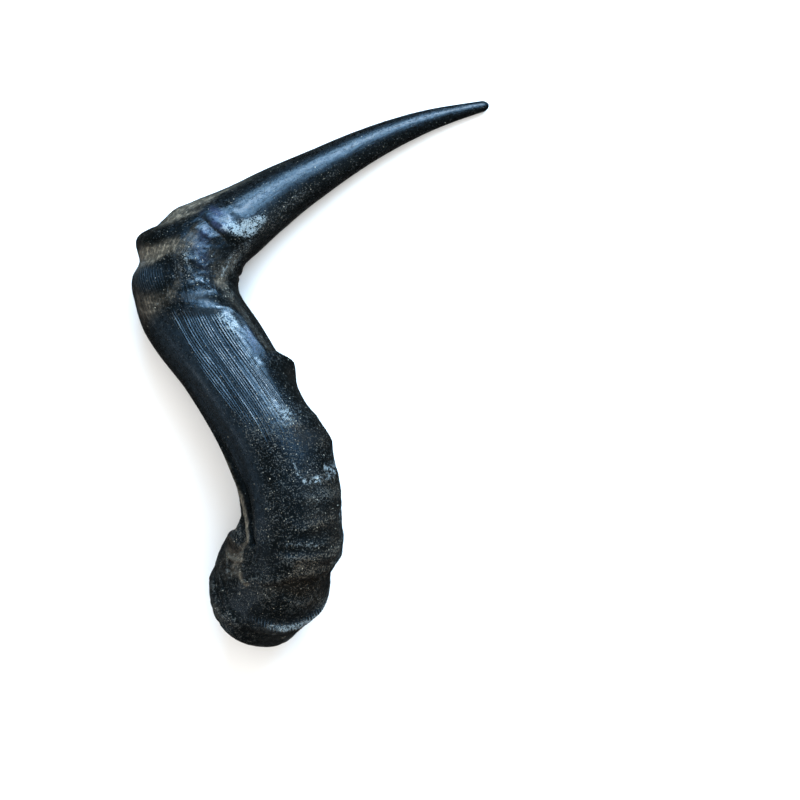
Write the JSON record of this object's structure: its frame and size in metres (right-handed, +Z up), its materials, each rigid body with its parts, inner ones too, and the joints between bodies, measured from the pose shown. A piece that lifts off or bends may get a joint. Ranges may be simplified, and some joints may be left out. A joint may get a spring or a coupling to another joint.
{
  "type": "red hartebeest horn",
  "caption": "Near-black hartebeest horn cut off flat at the base, rising ringed from it, then bending sharply back to a smooth pointed tip. It lies on its side.",
  "frame": {"origin": "on the resting surface, under the middle of the horn's bounding box", "axes": "+Z up from the resting surface, +Y from the base towards the knee where the horn turns back, and the tip points to +X"},
  "size_m": [0.2582, 0.3962, 0.1036],
  "materials": {
    "horn": "satin"
  },
  "bodies": {
    "root": {"horn": "horn"}
  },
  "joints": []
}
